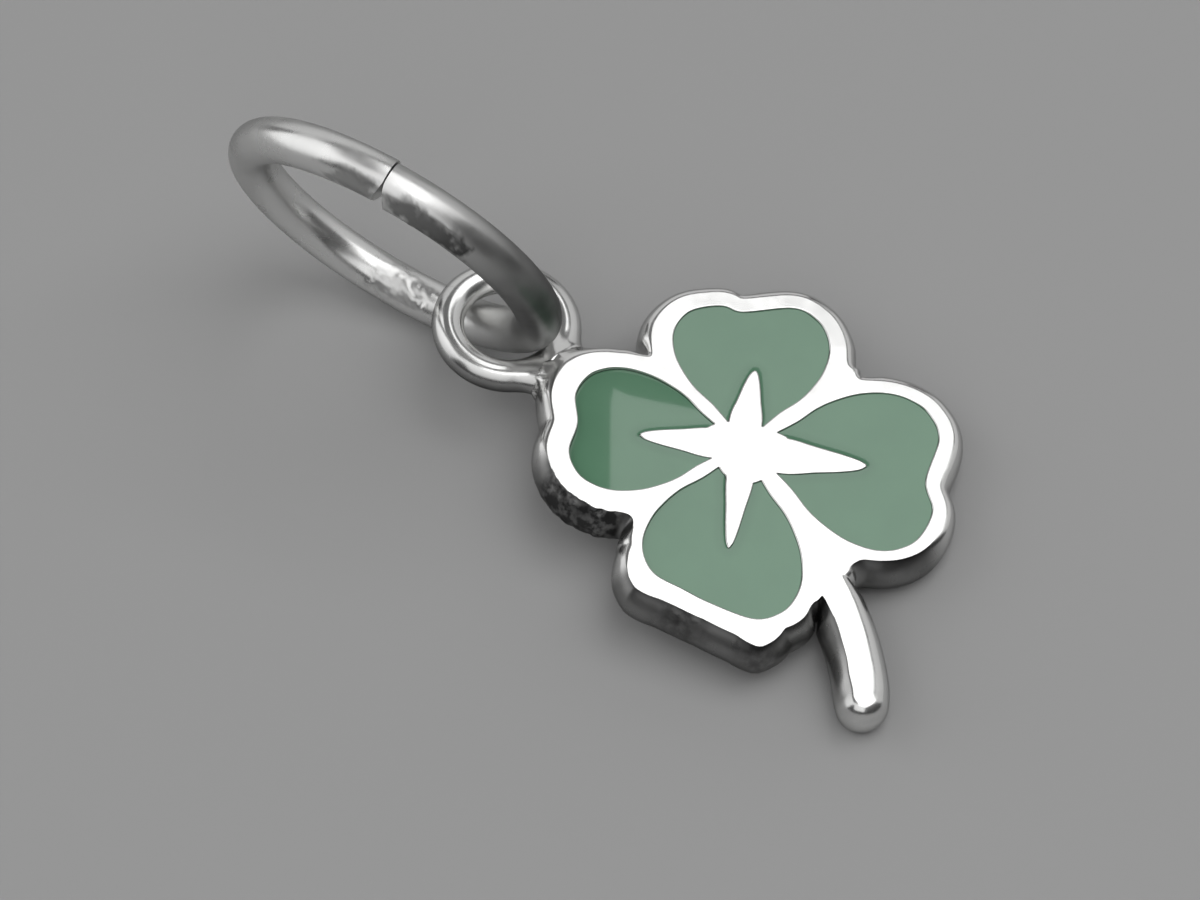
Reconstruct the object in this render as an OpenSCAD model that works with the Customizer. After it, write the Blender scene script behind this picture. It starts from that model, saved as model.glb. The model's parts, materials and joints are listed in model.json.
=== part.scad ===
// Four leaf clover pendant: a cast silver clover with four enamelled leaves, a soldered eye and a
// split jump ring. The clover's back and the jump ring's lowest point rest on the plane z = 0, and
// the origin is under the middle of the whole pendant. +Y runs from the clover to its eye.

/* [Clover] */
// Thickness of the clover from its flat back to its polished face
clover_t = 1.15; // [1.05:0.05:1.5]
// Length of an ordinary leaf's cell from the middle of the star to its lobes
leaf_len = 4.1; // [3.8:0.05:4.5]
// Half the width of an ordinary leaf's cell
leaf_half_w = 1.75; // [1.6:0.05:1.9]
// Width of the polished rim round a cell
rim_w = 0.4; // [0.3:0.02:0.5]
// Radius out to which metal fills the gap between two ordinary leaves
web_r = 3.3; // [3:0.05:3.5]
// How far the rounded side wall swells out past the face
wall_swell = 0.32; // [0.1:0.02:0.4]
// How far the back's edge is drawn in from the face's edge
back_inset = 0.1; // [0.02:0.02:0.2]

/* [Enamel] */
// Depth of the cells below the face
cell_depth = 0.5; // [0.3:0.05:0.8]
// How far the enamel's surface lies below the face
enamel_drop = 0.08; // [0.03:0.01:0.2]
// Clearance between the enamel and its cell
enamel_gap = 0.02; // [0.01:0.005:0.04]

/* [Star] */
// Radius of the star's middle
hub_r = 0.62; // [0.5:0.02:0.8]
// Length of an ordinary vein from the middle of the star to its point
vein_len = 2.5; // [2.1:0.1:3]
// Half the width of an ordinary vein at its root
vein_half_w = 0.38; // [0.25:0.01:0.45]

/* [Stem] */
// Length of the stem's middle line from its root to the middle of its round end
stem_len = 4.3; // [3.8:0.1:5.2]
// Width of the stem's flat top
stem_w = 0.7; // [0.6:0.02:0.9]
// Distance of the stem's root from the middle of the star
stem_root_r = 2.9; // [2.7:0.05:3.1]
// Angle by which the stem bends over its length
stem_bend = 36; // [10:1:45]

/* [Eye] */
// Diameter of the eye's hole
eye_hole_d = 2.06; // [2:0.02:2.4]
// Thickness of the eye's round wire
eye_wire = 0.78; // [0.6:0.02:0.8]
// Depth to which the eye's wire is sunk in the leaf's wall
eye_sink = 0.14; // [0.06:0.02:0.2]
// Height of the eye's lowest point above the clover's back
eye_raise = 0.05; // [0:0.01:0.2]
// Radius of the solder fillets between the eye and the leaf
solder_r = 0.5; // [0.3:0.05:0.7]
// Thickness of the solder fillets
solder_t = 0.44; // [0.3:0.02:0.5]

/* [Jump ring] */
// Inner diameter of the jump ring
ring_hole_d = 6.8; // [6.4:0.1:7.4]
// Thickness of the jump ring's wire
ring_wire = 1.1; // [0.9:0.02:1.12]
// Width of the seam between the jump ring's ends at the outside of the ring
seam_w = 0.03; // [0.02:0.01:0.1]
// Angle by which the seam widens towards the inside of the ring
seam_flare = 7; // [0:1:12]
// Angle round the ring from its farthest point to its seam
seam_turn = 100; // [60:5:130]
// Angle by which the upright jump ring leans to the side
ring_lean = 16; // [0:1:20]
// Angle from upright at which the jump ring's wire passes through the eye
pass_angle = 45; // [38:1:46]
// Distance from the eye's middle towards the clover at which the jump ring's wire passes
pass_back = 0.2; // [0.1:0.02:0.24]

/* [Hidden] */

silver_colour = "gainsboro";
enamel_colour = "seagreen";

leaf_steps = 180;
stem_steps = 16;
outline_steps = 200;
wall_steps = 8;
solder_steps = 6;
curve_steps = 4;
swell_span = 3;
round_fn = 48;
crotch_power = 18;
stem_root_angle = -121;
stem_heading = -112;
solder_sink = 0.09;
overcut = 1;

// Half of a leaf's outline: along as a share of its lobe's length, across of its half width
HALF_LEAF = [
    [0.14, 0.20],
    [0.26, 0.42],
    [0.36, 0.65],
    [0.46, 0.81],
    [0.58, 0.94],
    [0.72, 1.00],
    [0.84, 0.95],
    [0.94, 0.79],
    [1.00, 0.46],
];

// One row for each leaf. The columns are its direction in degrees, then the length of its left lobe,
// the width of its left half, the length of its right lobe, the width of its right half, and how far
// along and across its notch lies, as shares of leaf_len and leaf_half_w.
LEAVES = [
    [116, 1.00, 0.98, 1.00, 0.98, 0.97, 0.00],
    [25, 0.94, 1.14, 1.00, 1.01, 0.92, 0.22],
    [-64, 1.12, 1.15, 1.11, 1.36, 1.06, -0.17],
    [-157, 1.13, 1.02, 1.02, 1.14, 1.08, -0.12],
];

// Directions in degrees, and how far the metal between the leaves reaches there as a share of web_r
WEBS = [
    [-180, 1.00],
    [-145, 0.90],
    [-127, 1.32],
    [-108, 1.20],
    [-85, 0.85],
    [-40, 0.85],
    [-18, 1.07],
    [10, 0.85],
    [60, 0.85],
    [77, 0.94],
    [95, 0.85],
    [130, 0.85],
    [155, 1.03],
    [180, 1.00],
];

// Rim round each leaf as a share of rim_w, at places along its outline from 0 at the right root,
// past 0.5 at the notch, to 1 at the left root
RIMS = [
    [[0, 1], [0.30, 1.0], [0.40, 1.5], [0.60, 1.3], [0.70, 1.4], [1, 1.3]],
    [[0, 1], [0.30, 1.0], [0.42, 0.9], [0.58, 1.0], [0.70, 1.3], [1, 1.3]],
    [[0, 1], [0.30, 0.7], [0.42, 0.8], [0.58, 0.9], [0.70, 0.8], [1, 1.0]],
    [[0, 1], [0.30, 0.6], [0.36, 1.2], [0.42, 1.2], [0.55, 1.2], [0.59, 1.7], [0.64, 0.9], [0.70, 0.8], [1, 1]],
];

// One row for each vein: its length as a share of vein_len, how far its point lies to the left, and
// the half widths of its left and right sides at the root, as shares of vein_half_w
VEINS = [
    [1.00, 0.25, 1.15, 1.05],
    [0.86, -0.15, 1.20, 0.90],
    [1.17, -0.25, 1.05, 1.60],
    [1.15, 0.00, 0.90, 0.85],
];

// Half of a vein's outline: along as a share of its length, across of its half width
HALF_VEIN = [
    [0.00, 1.00],
    [0.35, 1.00],
    [0.60, 0.72],
    [0.80, 0.50],
    [0.94, 0.28],
    [1.00, 0.06],
];

eye_r = (eye_hole_d + eye_wire) / 2;
eye_z = eye_raise + eye_wire / 2;
ring_r = (ring_hole_d + ring_wire) / 2;

// Points on a smooth curve through the given points, with curve_steps from one to the next
function spline_point(a, b, c, d, t) =
    0.5 * (2 * b + (c - a) * t + (2 * a - 5 * b + 4 * c - d) * t * t
        + (3 * b - a - 3 * c + d) * t * t * t);
function open_spline(p) =
    let (last = len(p) - 1)
    [
        for (i = [0 : last - 1], k = [0 : curve_steps - 1])
            spline_point(p[max(i - 1, 0)], p[i], p[i + 1], p[min(i + 2, last)], k / curve_steps),
        p[last]
    ];

// Outward unit normal at each point of a closed outline that runs anticlockwise
function unit(v) = v / norm(v);
function normals(p) =
    let (n = len(p))
    [for (i = [0 : n - 1]) let (s = unit(p[(i + 1) % n] - p[(i + n - 1) % n])) [s[1], -s[0]]];
function grown(p, d) =
    let (out = normals(p))
    [for (i = [0 : len(p) - 1]) p[i] + d * out[i]];
function turned(p, angle) =
    [for (q = p) [
        q[0] * cos(angle) - q[1] * sin(angle),
        q[0] * sin(angle) + q[1] * cos(angle)
    ]];

// Outline of a leaf's cell, anticlockwise from its right root round to its left root
function leaf_outline(i) =
    let (
        row = LEAVES[i],
        last = len(HALF_LEAF) - 1,
        left = [for (k = [last : -1 : 0]) [
            HALF_LEAF[k][0] * row[1] * leaf_len, HALF_LEAF[k][1] * row[2] * leaf_half_w]],
        right = [for (k = [0 : last]) [
            HALF_LEAF[k][0] * row[3] * leaf_len, -HALF_LEAF[k][1] * row[4] * leaf_half_w]],
        notch = [[row[5] * leaf_len, row[6] * leaf_half_w]]
    )
    turned(open_spline(concat(right, notch, left)), row[0]);

// Outline of a leaf with the rim round it
function rimmed_outline(i) =
    let (p = leaf_outline(i), out = normals(p), n = len(p))
    [for (k = [0 : n - 1]) p[k] + rim_w * lookup(k / (n - 1), RIMS[i]) * out[k]];

// Distance from the middle at which a ray leaves a closed outline, and 0 if it misses the outline
function cross2(a, b) = a[0] * b[1] - a[1] * b[0];
function exit_radius(p, ray) =
    let (n = len(p))
    max([0, for (i = [0 : n - 1])
        let (a = p[i], b = p[(i + 1) % n], side_a = cross2(ray, a), side_b = cross2(ray, b))
        if ((side_a <= 0) != (side_b <= 0))
            let (t = side_a / (side_a - side_b)) (a + t * (b - a)) * ray
    ]);

// Distance from the middle to the edge of the four leaves' face. The power sum rounds the crotches
// where two leaves and the metal between them meet.
rimmed = [for (i = [0 : 3]) rimmed_outline(i)];
function leaves_radius(angle) =
    let (
        ray = [cos(angle), sin(angle)],
        web = web_r * lookup(angle > 180 ? angle - 360 : angle, WEBS),
        reach = concat([web], [for (p = rimmed) exit_radius(p, ray)]),
        power_sum = [for (r = reach) pow(r / leaf_len, crotch_power)] * [for (r = reach) 1]
    )
    leaf_len * pow(power_sum, 1 / crotch_power);

// Outline of the stem's flat top: both sides of an arc, and a round end
stem_arc_r = stem_len / (stem_bend * PI / 180);
function heading(t) = stem_heading - stem_bend * t;
function sideways(angle) = [-sin(angle), cos(angle)];
function stem_middle(t) =
    stem_root_r * [cos(stem_root_angle), sin(stem_root_angle)]
        + stem_arc_r * (sideways(heading(t)) - sideways(heading(0)));
stem_outline = concat(
    [for (k = [0 : stem_steps])
        let (t = k / stem_steps) stem_middle(t) - stem_w / 2 * sideways(heading(t))],
    [for (k = [1 : stem_steps - 1])
        stem_middle(1) - stem_w / 2 * sideways(heading(1) + 180 * k / stem_steps)],
    [for (k = [stem_steps : -1 : 0])
        let (t = k / stem_steps) stem_middle(t) + stem_w / 2 * sideways(heading(t))]
);

// Outline of the whole face, in equal steps: the stretch of the stem that stands out of the leaves,
// and then the leaves round to the stem's other side
function bearing(p) = atan2(p[1], p[0]);
stem_outside = [for (p = stem_outline) if (norm(p) > leaves_radius(bearing(p)) + stem_w / 8) p];
leaves_from = bearing(stem_outside[len(stem_outside) - 1]);
leaves_to = bearing(stem_outside[0]) + 360;
leaves_outside = [
    for (k = [1 : leaf_steps - 1])
        let (angle = leaves_from + (leaves_to - leaves_from) * k / leaf_steps)
        leaves_radius(angle) * [cos(angle), sin(angle)]
];
function in_equal_steps(p, n) =
    let (
        closed = concat(p, [p[0]]),
        last = len(closed) - 1,
        run = [for (i = 0, s = 0; i <= last; s = s + norm(closed[min(i + 1, last)] - closed[i]), i = i + 1) s],
        xs = [for (i = [0 : last]) [run[i], closed[i][0]]],
        ys = [for (i = [0 : last]) [run[i], closed[i][1]]]
    )
    [for (k = [0 : n - 1]) let (s = run[last] * k / n) [lookup(s, xs), lookup(s, ys)]];
face_outline = in_equal_steps(concat(stem_outside, leaves_outside), outline_steps);

// Direction in which the wall swells at each point of the face's outline. It is taken across
// swell_span steps to either side, and is shorter in a crotch and at a corner, so that the wall never
// folds over itself.
function swell_directions(p) =
    let (n = len(p))
    [
        for (i = [0 : n - 1])
            let (
                chord = p[(i + swell_span) % n] - p[(i + n - swell_span) % n],
                steps = norm(p[(i + 1) % n] - p[i]) + norm(p[i] - p[(i + n - 1) % n])
            )
            [chord[1], -chord[0]] / (swell_span * steps)
    ];

// Outlines of the wall's widest part and of the flat back
swell = swell_directions(face_outline);
wall_outline = face_outline + wall_swell * swell;
back_outline = face_outline - back_inset * swell;

// Points of the wall. Its section is a quarter ellipse out from the back's edge to the widest part,
// and another one in to the face's edge.
function wall_point(j, k) =
    let (
        turn = 180 * j / wall_steps,
        edge = turn < 90 ? back_outline[k] : face_outline[k],
        p = edge + sin(turn) * (wall_outline[k] - edge)
    )
    [p[0], p[1], clover_t / 2 * (1 - cos(turn))];
wall_points = [for (j = [0 : wall_steps - 1], k = [0 : outline_steps - 1]) wall_point(j, k)];

// The eye is seated where its wire sinks into the swollen wall of the leaf beside it
seat = eye_r + eye_wire / 2 + wall_swell - eye_sink;
eye_y = max([for (p = face_outline) if (abs(p[0]) < seat) p[1] + sqrt(seat * seat - p[0] * p[0])]);

// The clover rests on the end of its stem and on the leaf beside it. The line between them has the
// direction rest_turn and lies lower_reach from the middle of the star.
stem_low = [for (p = back_outline) if (p[1] == min([for (q = back_outline) q[1]])) p][0];
rest_turn = min([for (p = back_outline)
    if (p[0] > stem_low[0] + 2 * stem_w && p[1] < 0) bearing(p - stem_low)]);
lower_reach = max([for (p = back_outline) p * -sideways(rest_turn)]);

// The clover tilts by rest_tilt, so that the jump ring stands on the surface where its wire passes
// through the eye
pass_height = ring_wire / 2 + ring_r * cos(ring_lean) * (1 - sin(pass_angle));
eye_slope = lower_reach + eye_y * cos(rest_turn);
rest_tilt = asin(pass_height / norm([eye_z, eye_slope])) - atan2(eye_z, eye_slope);

// Where a point of the flat clover lies when the clover rests, before the pendant is centred
function leant(p) =
    let (
        q = turned([p], -rest_turn)[0],
        r = turned([[q[0], q[1] * cos(rest_tilt) - p[2] * sin(rest_tilt)]], rest_turn)[0]
    )
    [r[0], r[1], (q[1] + lower_reach) * sin(rest_tilt) + p[2] * cos(rest_tilt)];
eye_place = leant([0, eye_y, eye_z]);
ring_place = [
    eye_place[0] - ring_r * sin(pass_angle) * sin(ring_lean),
    eye_place[1] - pass_back + ring_r * cos(pass_angle),
    ring_wire / 2 + ring_r * cos(ring_lean)
];

// Middle of the whole pendant, which the origin lies under
leant_points = [for (p = wall_points) leant(p)];
left_end = min([for (p = leant_points) p[0]]);
right_end = max([for (p = leant_points) p[0]]);
near_end = min([for (p = leant_points) p[1]]);
far_end = ring_place[1] + ring_r + ring_wire / 2;
middle = [(left_end + right_end) / 2, (near_end + far_end) / 2];

// Moves the flat clover to where it rests
module rested() {
    translate([-middle[0], -middle[1], lower_reach * sin(rest_tilt)])
        rotate(rest_turn)
            rotate([rest_tilt, 0, 0])
                rotate(-rest_turn)
                    children();
}

// Solid with the flat back and the swollen wall, which runs on past the face's edge to a row of points
// above it, so that the face is cut level
module swollen_plate() {
    n = outline_steps;
    above = [for (k = [0 : n - 1])
        [each (2 * face_outline[k]), 2 * clover_t] - wall_point(wall_steps - 1, k)];
    walls = [
        for (j = [0 : wall_steps - 1], k = [0 : n - 1])
            let (a = j * n + k, b = j * n + (k + 1) % n)
            each [[a, a + n, b + n], [a, b + n, b]]
    ];
    back = [for (k = [0 : n - 1]) k];
    face = [for (k = [n - 1 : -1 : 0]) wall_steps * n + k];
    polyhedron(concat(wall_points, above), concat([back, face], walls));
}

// Solder in the two corners between the eye and the wall. Each side is an arc of radius solder_r whose
// ends run solder_sink into both.
module solder() {
    n = outline_steps;
    eye = [0, eye_y];
    reach = eye_r + eye_wire / 2 + solder_r - solder_sink;
    beside = grown(wall_outline, solder_r - solder_sink);
    ends = [
        for (k = [0 : n - 1])
            let (a = norm(beside[k] - eye), b = norm(beside[(k + 1) % n] - eye))
            if ((a < reach) != (b < reach))
                beside[k] + (reach - a) / (b - a) * (beside[(k + 1) % n] - beside[k])
    ];
    near = function (c) [for (p = wall_outline) if (norm(p - c) == min([for (q = wall_outline) norm(q - c)])) p][0];
    side = function (c)
        let (
            from = bearing(eye - c),
            to = bearing(near(c) - c),
            sweep = ((to - from + 540) % 360) - 180
        )
        [for (k = [0 : solder_steps])
            let (angle = from + sweep * k / solder_steps) c + solder_r * [cos(angle), sin(angle)]];
    right = ends[0];
    left = ends[1];
    eye_from = bearing(left - eye);
    eye_to = bearing(right - eye);
    along_eye = [for (k = [0 : 2 * solder_steps])
        let (angle = eye_from + (eye_to - eye_from) * k / (2 * solder_steps))
        eye + eye_r * [cos(angle), sin(angle)]];
    inside = [for (c = [right, left]) near(c) + wall_swell * unit(near(c) - c)];
    translate([0, 0, eye_z - solder_t / 2])
        linear_extrude(solder_t)
            polygon(concat(
                side(right),
                inside,
                [for (k = [solder_steps : -1 : 0]) side(left)[k]],
                along_eye
            ));
}

module torus(r, wire) {
    rotate_extrude($fn = round_fn)
        translate([r, 0])
            circle(d = wire, $fn = round_fn / 2);
}

// Star of four veins round the middle, which stays level with the face
module star(extra) {
    circle(r = hub_r + extra, $fn = round_fn);
    for (i = [0 : 3]) {
        row = VEINS[i];
        last = len(HALF_VEIN) - 1;
        half = function (k, side) [
            HALF_VEIN[k][0] * row[0] * vein_len,
            (HALF_VEIN[k][0] * row[1] + side * HALF_VEIN[k][1]) * vein_half_w
        ];
        points = concat(
            [for (k = [0 : last]) half(k, -row[3])],
            [for (k = [last : -1 : 0]) half(k, row[2])]
        );
        polygon(turned(grown(points, extra), LEAVES[i][0]));
    }
}

// Plan of a leaf's cell, smaller by inset all round
module cell(i, inset) {
    difference() {
        polygon(grown(leaf_outline(i), -inset));
        star(inset);
    }
}

module clover_body() {
    color(silver_colour)
        rested()
            difference() {
                union() {
                    swollen_plate();
                    translate([0, eye_y, eye_z])
                        torus(eye_r, eye_wire);
                    solder();
                }
                translate([0, 0, clover_t])
                    linear_extrude(2 * overcut)
                        square(4 * leaf_len, center = true);
                for (i = [0 : 3])
                    translate([0, 0, clover_t - cell_depth])
                        linear_extrude(cell_depth + overcut)
                            cell(i, 0);
            }
}

// Enamel that fills a leaf's cell up to a little below the face
module enamel(i) {
    color(enamel_colour)
        rested()
            translate([0, 0, clover_t - cell_depth + enamel_gap])
                linear_extrude(cell_depth - enamel_gap - enamel_drop)
                    cell(i, enamel_gap);
}

// Split ring that stands on the surface and passes through the eye
module jump_ring() {
    color(silver_colour)
        translate([ring_place[0] - middle[0], ring_place[1] - middle[1], ring_place[2]])
            rotate([0, -ring_lean, 0])
                rotate([0, 90, 0])
                    difference() {
                        torus(ring_r, ring_wire);
                        rotate(90 + seam_turn)
                            seam_cut();
                    }
}

// Wedge that parts the ring's ends, seam_w wide at the outside of the ring
module seam_cut() {
    outer = ring_r + ring_wire / 2;
    inner = ring_r - ring_wire / 2 - overcut;
    flare = (outer - inner) * tan(seam_flare);
    linear_extrude(2 * ring_wire, center = true)
        polygon([
            [outer + overcut, -seam_w / 2],
            [outer + overcut, seam_w / 2],
            [outer, seam_w / 2],
            [inner, seam_w / 2 + flare],
            [inner, -seam_w / 2]
        ]);
}

clover_body();
enamel(0);  // enamel_left
enamel(1);  // enamel_top
enamel(2);  // enamel_right
enamel(3);  // enamel_bottom
jump_ring();
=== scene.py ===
"""Four leaf clover pendant: polished silver, green enamel, a bent eye and a split jump ring.

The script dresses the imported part. Plans are worked out in millimetres on the flat clover, whose middle
is the origin and whose eye lies towards +Y, and are then laid where the part rests.
"""

import json
import math

import bpy
import numpy as np
from mathutils import Matrix, Vector, noise
from mathutils.bvhtree import BVHTree
from mathutils.geometry import delaunay_2d_cdt


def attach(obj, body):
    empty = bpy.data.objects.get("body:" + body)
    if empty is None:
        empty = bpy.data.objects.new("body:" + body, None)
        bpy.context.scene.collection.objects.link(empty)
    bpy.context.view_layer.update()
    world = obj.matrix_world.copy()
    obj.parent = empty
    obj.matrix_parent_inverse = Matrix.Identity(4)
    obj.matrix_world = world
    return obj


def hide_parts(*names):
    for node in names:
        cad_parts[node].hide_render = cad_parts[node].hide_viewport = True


bl_info = {
    "name": "Four Leaf Clover Pendant",
    "version": (1, 0, 0),
    "blender": (4, 5, 0),
    "location": "View3D > Sidebar > Clover",
    "description": "Builds the visible pieces of a four leaf clover pendant round its packed part",
    "category": "Object",
}

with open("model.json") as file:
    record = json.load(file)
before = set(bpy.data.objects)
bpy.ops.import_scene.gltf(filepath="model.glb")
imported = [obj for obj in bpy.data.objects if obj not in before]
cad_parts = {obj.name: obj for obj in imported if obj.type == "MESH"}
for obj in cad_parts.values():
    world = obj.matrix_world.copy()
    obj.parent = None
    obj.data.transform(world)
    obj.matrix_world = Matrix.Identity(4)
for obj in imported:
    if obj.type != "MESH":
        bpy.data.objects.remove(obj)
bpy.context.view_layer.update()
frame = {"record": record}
MM = 0.001

# The tables of the leaves, webs, rims and veins follow the part's source, with the bottom leaf's
# corners drawn more sharply

# Half a leaf: along as a share of its lobe's length, across as a share of its half width
HALF_LEAF = (
    (0.14, 0.20), (0.26, 0.42), (0.36, 0.65), (0.46, 0.81), (0.58, 0.94),
    (0.72, 1.00), (0.84, 0.95), (0.94, 0.79), (1.00, 0.46),
)

# Direction of each leaf, then its left lobe, left half width, right lobe, right half width, notch along
# and notch across, as shares of the leaf's length and half width
LEAVES = (
    (116, 1.00, 0.98, 1.00, 0.98, 0.97, 0.00),
    (25, 0.94, 1.14, 1.00, 1.01, 0.92, 0.22),
    (-64, 1.12, 1.15, 1.11, 1.36, 1.06, -0.17),
    (-157, 1.13, 1.02, 1.02, 1.14, 1.08, -0.12),
)
LEAF_NAMES = ("left", "top", "right", "bottom")

# Direction and how far the metal between the leaves reaches there, as a share of the web
WEBS = (
    (-180, 1.00), (-145, 0.90), (-127, 1.32), (-108, 1.20), (-85, 0.85), (-40, 0.85), (-18, 1.07),
    (10, 0.85), (60, 0.85), (77, 0.94), (95, 0.85), (130, 0.85), (155, 1.03), (180, 1.00),
)

# Place along each leaf's outline and the rim's width there, as a share of the rim
RIMS = (
    ((0, 1), (0.30, 1.0), (0.40, 1.5), (0.60, 1.3), (0.70, 1.4), (1, 1.3)),
    ((0, 1), (0.30, 1.0), (0.42, 0.9), (0.58, 1.0), (0.70, 1.3), (1, 1.3)),
    ((0, 1), (0.30, 0.7), (0.42, 0.8), (0.58, 0.9), (0.70, 0.8), (1, 1.0)),
    ((0, 1), (0.30, 0.6), (0.36, 1.35), (0.385, 1.55), (0.42, 1.3), (0.50, 1.2), (0.54, 1.35),
     (0.563, 1.9), (0.60, 1.0), (0.64, 1.1), (0.70, 0.8), (1, 1)),
)

# Half a vein: along as a share of its length, across as a share of its half width
HALF_VEIN = ((0.00, 1.00), (0.35, 1.00), (0.60, 0.72), (0.80, 0.50), (0.94, 0.28), (1.00, 0.06))

# Each vein's length as a share of an ordinary one, then how far its point leans left, its left half
# width and its right half width, as shares of the half width
VEINS = (
    (1.00, 0.25, 1.15, 1.05),
    (0.86, -0.15, 1.20, 0.90),
    (1.17, -0.25, 1.05, 1.60),
    (1.15, 0.00, 0.90, 0.85),
)

# Direction and how far the star's body reaches there, as a share of the hub's radius
HUB = (
    (-177, 1.10), (-139, 1.18), (-108, 1.08), (-43, 1.20), (-7, 0.58), (67, 0.85), (96, 1.12),
    (154, 0.90),
)

# Where the enamel's top bends down: leaf, direction in which it falls, where the bend begins along
# that direction, and how many degrees it gains in a millimetre
BENDS = (
    ("left", 121.5, 2.77, 8.0),
    ("left", 21.6, 0.50, 7.0),
    ("bottom", 121.5, 0.60, 1.6),
    ("top", 121.5, 2.00, 1.2),
    ("right", 31.0, 1.20, 1.2),
)

# Rough patches of the casting: place on the plan, reach, how deep the skin is pitted, and how far the
# face's edge is nicked there, in millimetres
ROUGH = (
    (-3.85, 2.75, 1.00, 0.035, 0.040),
    (-3.45, 1.80, 0.60, 0.040, 0.070),
    (-5.00, -1.20, 0.90, 0.012, 0.012),
    (-4.70, -3.20, 0.70, 0.012, 0.000),
    (-4.55, -6.25, 0.80, 0.008, 0.000),
)

# Where the face's edge is worn round: place on the plan, reach and distance, in millimetres
WORN_BACK = (
    (-1.75, -3.95, 0.90, 0.08),
    (-2.40, -4.75, 1.05, 0.12),
    (-3.15, -5.50, 1.05, 0.16),
    (-4.20, -6.15, 1.20, 0.28),
)

# Dim panels round the stage: compass direction and height in degrees, and power in watts
PANELS = (
    ("left_panel", 112, 28, 0.70),
    ("camera_panel", -165, 46, 0.59),
    ("right_panel", -24, 14, 0.33),
    ("back_panel", 42, 13, 0.36),
)

# Marks of pliers: degrees round the ring, degrees round the wire from its outside, reach along and
# across the wire in millimetres, and how dull and dark the mark is, the darkness partly painted shade
MARKS = (
    (181, -66, 0.8, 0.42, 0.45),
    (208, -64, 1.3, 0.42, 0.55),
    (7, 200, 1.3, 0.50, 0.2),
)

# Power of the sum that joins the leaves' edges into one, and the rays on which it is taken
LEAF_POWER = 18
LEAF_RAYS = 1440

# Directions of the stem's root from the middle and of the stem's run there, in degrees
STEM_ROOT_TURN = -121
STEM_HEADING = -112

# Steps round the face's outline, here and in the part's source, and up the side wall, and the power
# of the wall's curve below a crisp edge
OUTLINE_STEPS = 800
PART_STEPS = 200
WALL_STEPS = 26
CRISP_POWER = 1.6

# Degrees from each row of points to the next on the worn edge of a cell
ROUND_STEP = 18

# Points round the eye and round the ring, and sides of their wire
EYE_STEPS = 241
RING_STEPS = 381
WIRE_SIDES = 56

# Depths of the rows of points beside the edges of the face, the enamel and the back, in millimetres
FACE_ROWS = (0.015, 0.05, 0.12)
ENAMEL_ROWS = (0.015, 0.035, 0.06, 0.09, 0.13, 0.18, 0.25, 0.34)
BACK_ROWS = (0.1, 0.3)

# Spacing of the points elsewhere on the face, the enamel and the back, in millimetres
FACE_SPACING = 0.2
ENAMEL_SPACING = 0.12
BACK_SPACING = 0.5

# Features in each millimetre of the nicks, the cast skin, the uneven solder and the pliers' marks
NICK_SCALE = 1.7
SKIN_SCALE = 3.2
SOLDER_SCALE = 3.5
MARK_SCALE = 3.0

# How dull the silver is, from 0 to 1: polished, on the eye, on the back and in the cells
POLISHED_WEAR = 0.03
EYE_WEAR = 0.05
BACK_WEAR = 0.5
CELL_WEAR = 0.4

# How much duller and darker it is on the wall that polishing missed, just below the face there, under the
# eye and on the side of the ring that the eye rubs, the darkening partly tarnished silver and partly
# painted shade, and radians round the wall and round the ring over which this fades
WALL_WEAR_AND_SHADE = 0.75
EDGE_WEAR_AND_SHADE = 0.25
MISSED_WEAR_AND_SHADE = 0.9
RUBBED_WEAR_AND_SHADE = 0.85
EDGE_FADE = 0.5
RUBBED_FADE = 0.8

# Depths of pits, in millimetres, at which the silver is wholly dull and wholly grainy
DULL_PIT = 0.12
GRAINY_PIT = 0.05

# Depth of the finishes' bump, in millimetres, and the point the camera looks at
BUMP_DEPTH = 0.02
AIM = (-1.343, -0.644, 0.933)


def length(name, text, value):
    """A size in metres, given in millimetres."""
    return bpy.props.FloatProperty(
        name=name, description=text, default=value * MM, unit="LENGTH", precision=5
    )


def colour(name, text, value):
    """A plain colour."""
    return bpy.props.FloatVectorProperty(
        name=name, description=text, default=value, size=3, subtype="COLOR", min=0, max=1
    )


def amount(name, text, value):
    """A plain number."""
    return bpy.props.FloatProperty(name=name, description=text, default=value)


class CloverSizes(bpy.types.PropertyGroup):
    """Sizes of the cast clover."""

    thickness: length("Thickness", "From the flat back to the polished face", 1.15)
    leaf_length: length("Leaf length", "From the star's middle to an ordinary leaf's lobes", 4.1)
    leaf_half_width: length("Leaf half width", "Half the width of an ordinary cell", 1.75)
    rim: length("Rim", "Width of the rim round a cell", 0.4)
    web: length("Web", "Radius of the metal between two leaves", 3.3)
    swell: length("Wall swell", "How far the side wall swells out", 0.32)
    # The crisp side also gets the darker wall and eye, partly painted shade
    crisp_turn: amount("Crisp side", "Degrees to the side whose edge stays crisp", 195)
    back_inset: length("Back inset", "How far the back's edge is drawn in", 0.1)
    rim_round: length("Rim rounding", "Radius worn on the cells' upper edges", 0.03)
    cell_depth: length("Cell depth", "Depth of the cells", 0.5)
    hub: length("Hub", "Ordinary reach of the star's body from its middle", 0.9)
    vein_length: length("Vein length", "Length of an ordinary vein", 2.5)
    vein_half_width: length("Vein half width", "Half width of a vein at its root", 0.38)
    stem_length: length("Stem length", "Length of the stem's middle line", 4.3)
    stem_width: length("Stem width", "Width of the stem's flat top", 0.7)
    stem_root: length("Stem root", "Distance of the stem's root from the middle", 2.9)
    stem_bend: amount("Stem bend", "Degrees by which the stem bends", 36)


class EyeSizes(bpy.types.PropertyGroup):
    """Sizes of the soldered eye."""

    hole: length("Hole", "Diameter of the eye's hole", 2.06)
    wire: length("Wire", "Thickness of the eye's wire", 0.78)
    sink: length("Sink", "Depth to which the wire is sunk in the wall", 0.14)
    lift: length("Lift", "Height of the eye's lowest point above the back", 0.05)
    solder_blend: length("Solder blend", "Distance over which the solder fills a corner", 0.7)
    solder_uneven: amount("Uneven solder", "Share by which the solder's depth varies", 1.2)


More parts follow.
